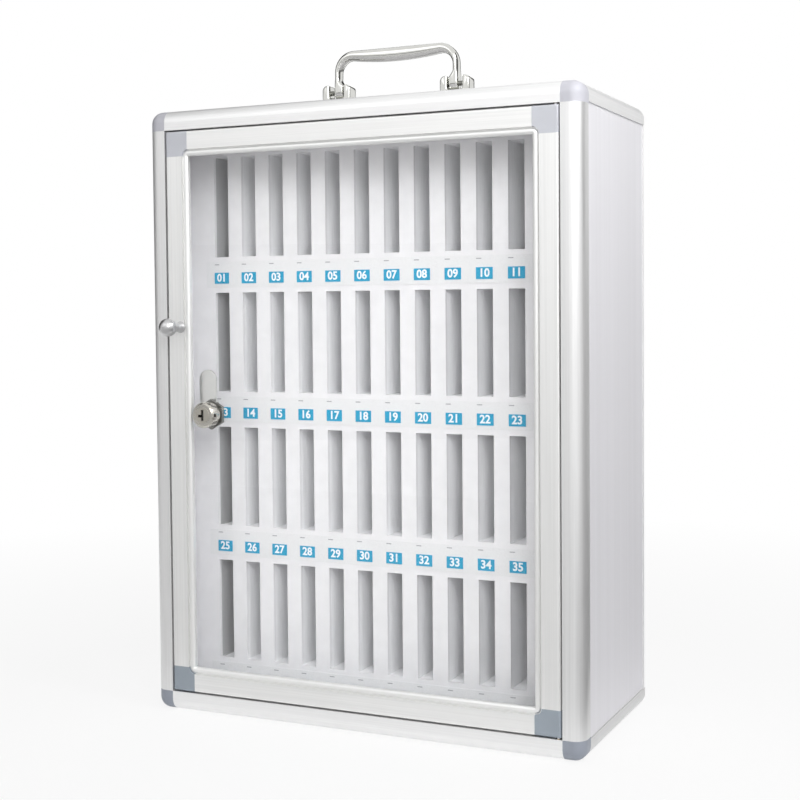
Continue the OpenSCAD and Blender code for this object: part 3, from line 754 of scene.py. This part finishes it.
# name: (centre, what it faces, width, height, tone)
CARDS = {
    "card_left": ((-1.6, 0.5, 0.9), (0.0, 0.2, 0.4), 2.6, 2.6, 0.04),
    "card_right": ((1.9, 0.7, 0.9), (0.1, 0.1, 0.4), 1.6, 2.6, 0.1),
    "card_back": ((-0.45, 2.0, 0.95), (0.0, 0.2, 0.5), 2.2, 2.1, 0.04),
    "card_low": ((-0.1, -0.75, 0.003), (-0.1, -0.75, 1.0), 2.4, 1.2, 0.6),
    "card_front": ((-1.1, -2.3, 0.1), (0.0, 0.0, 0.1), 2.6, 0.8, 0.4),
    "card_front_right": ((1.6, -1.6, 0.0), (0.19, -0.08, 0.0), 2.4, 0.8, 0.45),
    "card_back_right": ((1.15, 1.5, 0.05), (0.19, 0.0, 0.05), 1.4, 0.8, 0.25),
    "card_low_right": ((0.8, 0.4, 0.003), (0.8, 0.4, 1.0), 1.1, 1.8, 0.12),
}

# Camera, solved from the box's corners in the photograph
CAMERA_AZIMUTH = 24.94
CAMERA_ELEVATION = 2.34
CAMERA_ROLL = -0.505
CAMERA_PLACE = (0.494, -1.0574, 0.3357)
CAMERA_LENS = 62.97
CAMERA_SENSOR = 36
CAMERA_SHIFT_Y = -0.0435


def stage_floor():
    """A white floor that fades into the background and keeps the object's shadow."""
    shader = Shader("floor")
    distance = shader.node("ShaderNodeVectorMath", {0: shader.place()}, operation="LENGTH")
    fade = shader.span(distance.outputs["Value"], *FADE_SHARES, *FADE_DISTANCES)
    share = shader.node("ShaderNodeMath", {0: shader.seen_directly(), 1: fade},
                        operation="MULTIPLY").outputs[0]
    paint = shader.node("ShaderNodeBsdfDiffuse", {"Color": FLOOR_PAINT}).outputs["BSDF"]
    glow = shader.node("ShaderNodeEmission", {"Color": WHITE, "Strength": 1.0})
    material = shader.finish(shader.mix_surfaces(share, paint, glow.outputs["Emission"]))
    turns = [2 * math.pi * step / FLOOR_RING for step in range(FLOOR_RING)]
    mesh = new_mesh("floor", [
        (FLOOR_RADIUS * math.cos(turn), FLOOR_RADIUS * math.sin(turn), 0) for turn in turns],
        [tuple(range(FLOOR_RING))])
    mesh.materials.append(material)
    floor = bpy.data.objects.new("floor", mesh)
    floor.location.z = cad_box[0].z
    bpy.context.scene.collection.objects.link(floor)


def white_world():
    """White behind the object and in its reflections, and a soft ambient light on it."""
    world = bpy.data.worlds.new("studio")
    bpy.context.scene.world = world
    nodes = Nodes(world, "ShaderNodeOutputWorld")
    strength = nodes.span(nodes.seen_directly(), AMBIENT_LIGHT, 1.0, from_low=0.0, from_high=1.0)
    background = nodes.node("ShaderNodeBackground", {"Color": WHITE, "Strength": strength})
    nodes.finish(background.outputs["Background"])


def soft_lamp(name, place, target, size, power):
    """A round area lamp that points at a target."""
    data = bpy.data.lights.new(name, "AREA")
    data.shape = "DISK"
    data.size = size
    data.energy = power
    lamp = bpy.data.objects.new(name, data)
    lamp.location = place
    lamp.rotation_euler = (Vector(target) - Vector(place)).to_track_quat("-Z", "Y").to_euler()
    bpy.context.scene.collection.objects.link(lamp)


def reflected_card(name, centre, facing, width, height, tone):
    """A grey card beside the object that only its glossy surfaces show, as studio flags do."""
    shader = Shader(name)
    glow = shader.node("ShaderNodeEmission", {"Color": (tone, tone, tone, 1.0), "Strength": 1.0})
    through = shader.node("ShaderNodeBsdfTransparent").outputs["BSDF"]
    through_pane = shader.node("ShaderNodeLightPath").outputs["Is Transmission Ray"]
    material = shader.finish(
        shader.mix_surfaces(through_pane, glow.outputs["Emission"], through))
    side, end = width / 2, height / 2
    mesh = new_mesh(name, [(-side, -end, 0), (side, -end, 0), (side, end, 0), (-side, end, 0)],
                    [(0, 1, 2, 3)])
    mesh.materials.append(material)
    card = bpy.data.objects.new(name, mesh)
    card.location = centre
    card.rotation_euler = (Vector(facing) - Vector(centre)).to_track_quat("Z", "Y").to_euler()
    card.visible_camera = False
    card.visible_diffuse = False
    card.visible_shadow = False
    card.visible_transmission = False
    bpy.context.scene.collection.objects.link(card)


def photo_camera():
    """The camera that sees the box as the photograph does."""
    azimuth, elevation, roll = (
        math.radians(angle) for angle in (CAMERA_AZIMUTH, CAMERA_ELEVATION, CAMERA_ROLL))
    back = Vector((math.sin(azimuth) * math.cos(elevation),
                   -math.cos(azimuth) * math.cos(elevation), math.sin(elevation)))
    level = (-back).cross(Vector((0, 0, 1))).normalized()
    upright = level.cross(-back)
    right = level * math.cos(roll) + upright * math.sin(roll)
    up = upright * math.cos(roll) - level * math.sin(roll)
    data = bpy.data.cameras.new("camera")
    data.sensor_width = CAMERA_SENSOR
    data.lens = CAMERA_LENS
    data.shift_y = CAMERA_SHIFT_Y
    camera = bpy.data.objects.new("camera", data)
    axes = Matrix((right, up, back)).transposed().to_4x4()
    camera.matrix_world = Matrix.Translation(CAMERA_PLACE) @ axes
    bpy.context.scene.collection.objects.link(camera)
    bpy.context.scene.camera = camera


stage_floor()
white_world()
for name, (place, target, diameter, power) in LAMPS.items():
    soft_lamp(name, place, target, diameter, power)
for name, (centre, facing, width, height, tone) in CARDS.items():
    reflected_card(name, centre, facing, width, height, tone)
photo_camera()
bpy.context.scene.view_settings.view_transform = "Standard"
